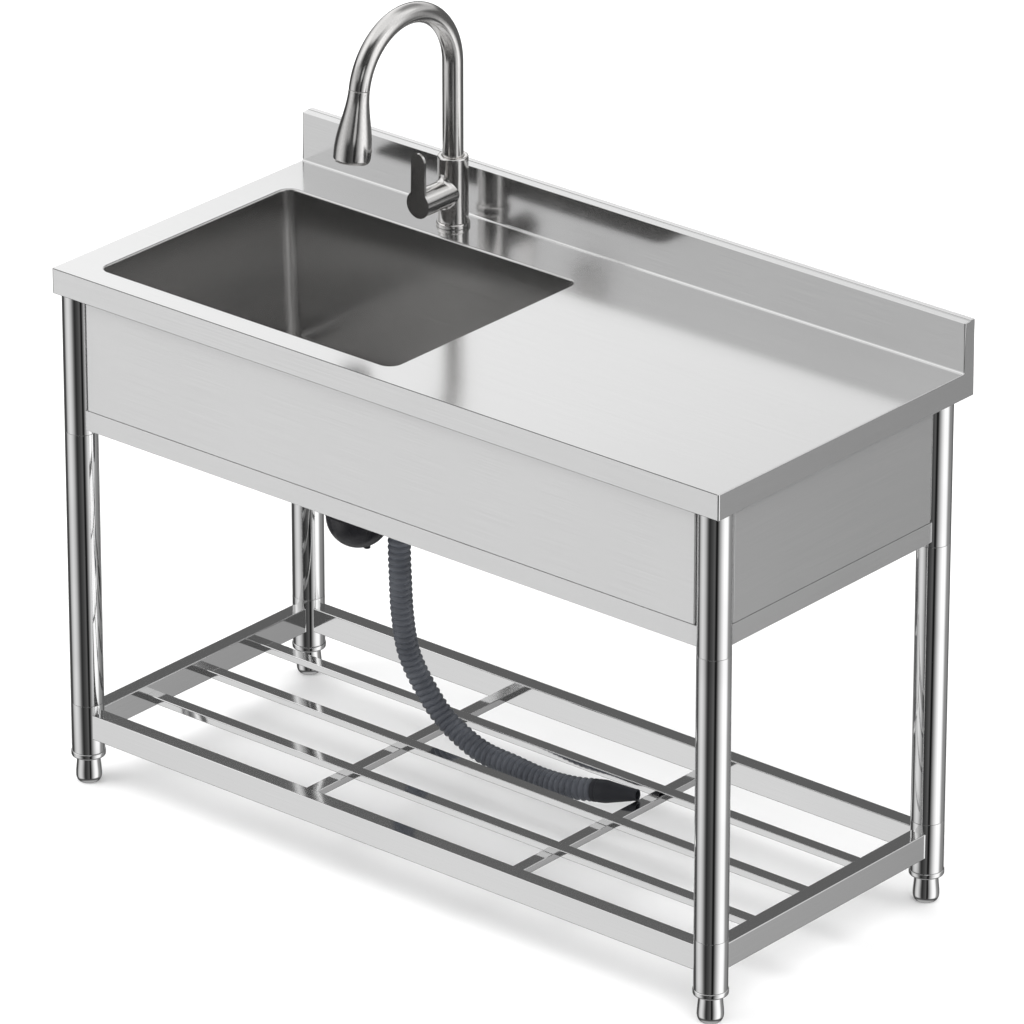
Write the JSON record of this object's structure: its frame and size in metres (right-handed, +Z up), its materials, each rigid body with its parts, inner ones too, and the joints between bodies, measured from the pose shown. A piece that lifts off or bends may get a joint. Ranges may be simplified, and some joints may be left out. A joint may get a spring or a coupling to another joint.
{
  "type": "kitchen sink unit",
  "caption": "Free-standing steel sink unit: worktop with an inset bowl and drainer side, splashback, skirt panels, tube legs, slatted shelf, bottle trap with drain hose, pull-down mixer tap.",
  "frame": {"origin": "on the floor, under the middle of the worktop's outline", "axes": "+X along the worktop towards the drainer end, +Y towards the splashback, +Z up"},
  "size_m": [1.2, 0.55, 1.1556],
  "materials": {
    "satin_steel": "satin brushed along the length",
    "bowl_steel": "darker satin steel, brushed round the bowl",
    "polished_steel": "bright polished steel tube",
    "tap_steel": "brushed nickel-coloured steel",
    "black_plastic": "smooth moulded black",
    "grey_hose": "satin slate grey, ribbed",
    "dark_rubber": "matte",
    "pale_plastic": "moulded, hidden inside the tap"
  },
  "bodies": {
    "frame": {"worktop_deck": "satin_steel", "end_plate_left": "satin_steel", "end_plate_right": "satin_steel", "deck_stiffener": "satin_steel", "skirt_panel_front": "satin_steel", "skirt_panel_back": "satin_steel", "skirt_panel_left": "satin_steel", "skirt_panel_right": "satin_steel", "skirt_rail_front": "satin_steel", "skirt_rail_back": "satin_steel", "skirt_rail_left": "satin_steel", "skirt_rail_right": "satin_steel", "sink_bowl": "bowl_steel", "strainer_body": "bowl_steel", "upper_leg_front_left": "polished_steel", "leg_tube_front_left": "polished_steel", "shelf_corner_front_left": "polished_steel", "foot_insert_front_left": "polished_steel", "upper_leg_front_right": "polished_steel", "leg_tube_front_right": "polished_steel", "shelf_corner_front_right": "polished_steel", "foot_insert_front_right": "polished_steel", "upper_leg_back_left": "polished_steel", "leg_tube_back_left": "polished_steel", "shelf_corner_back_left": "polished_steel", "foot_insert_back_left": "polished_steel", "upper_leg_back_right": "polished_steel", "leg_tube_back_right": "polished_steel", "shelf_corner_back_right": "polished_steel", "foot_insert_back_right": "polished_steel", "shelf_rail_front": "polished_steel", "shelf_rail_back": "polished_steel", "shelf_rail_left": "polished_steel", "shelf_rail_right": "polished_steel", "shelf_slat_1": "polished_steel", "shelf_slat_2": "polished_steel", "shelf_slat_3": "polished_steel", "shelf_crossbar_left": "polished_steel", "shelf_crossbar_right": "polished_steel", "strainer_gasket": "dark_rubber", "hose_cuff": "dark_rubber", "strainer_locknut": "black_plastic", "trap_body": "black_plastic", "trap_nut": "black_plastic", "outlet_elbow": "black_plastic", "drain_hose": "grey_hose", "tap_base_ring": "tap_steel", "tap_body": "tap_steel", "tap_mounting_nut": "tap_steel", "mixer_cartridge": "pale_plastic"},
    "spout_arm": {"spout": "tap_steel"},
    "spray": {"spray_head": "tap_steel", "spray_nozzle": "dark_rubber"},
    "temperature_turret": {"cartridge_turret": "pale_plastic"},
    "lever": {"mixer_handle": "tap_steel"},
    "basket": {"strainer_basket": "bowl_steel"},
    "foot_front_left": {"levelling_foot_front_left": "polished_steel"},
    "foot_front_right": {"levelling_foot_front_right": "polished_steel"},
    "foot_back_left": {"levelling_foot_back_left": "polished_steel"},
    "foot_back_right": {"levelling_foot_back_right": "polished_steel"}
  },
  "joints": [
    {"name": "spout_swivel", "type": "hinge", "parent": "frame", "child": "spout_arm", "pos_m": [-0.277, 0.2095, 0.901], "axis": [0, 0, 1], "continuous": true},
    {"name": "temperature_turn", "type": "hinge", "parent": "frame", "child": "temperature_turret", "pos_m": [-0.277, 0.1602, 0.848], "axis": [0, 1, 0], "range_deg": [-45, 45]},
    {"name": "lever_tilt", "type": "hinge", "parent": "temperature_turret", "child": "lever", "pos_m": [-0.277, 0.1602, 0.8275], "axis": [1, 0, 0], "range_deg": [0, 20]},
    {"name": "spray_pull", "type": "slide", "parent": "spout_arm", "child": "spray", "axis": [0, -0.1736, -0.9848], "range_m": [0, 0.03]},
    {"name": "basket_lift", "type": "slide", "parent": "frame", "child": "basket", "axis": [0, 0, 1], "range_m": [0, 0.09]},
    {"name": "levelling_front_left", "type": "slide", "parent": "frame", "child": "foot_front_left", "axis": [0, 0, -1], "range_m": [0, 0.025]},
    {"name": "levelling_front_right", "type": "slide", "parent": "frame", "child": "foot_front_right", "axis": [0, 0, -1], "range_m": [0, 0.025]},
    {"name": "levelling_back_left", "type": "slide", "parent": "frame", "child": "foot_back_left", "axis": [0, 0, -1], "range_m": [0, 0.025]},
    {"name": "levelling_back_right", "type": "slide", "parent": "frame", "child": "foot_back_right", "axis": [0, 0, -1], "range_m": [0, 0.025]}
  ]
}
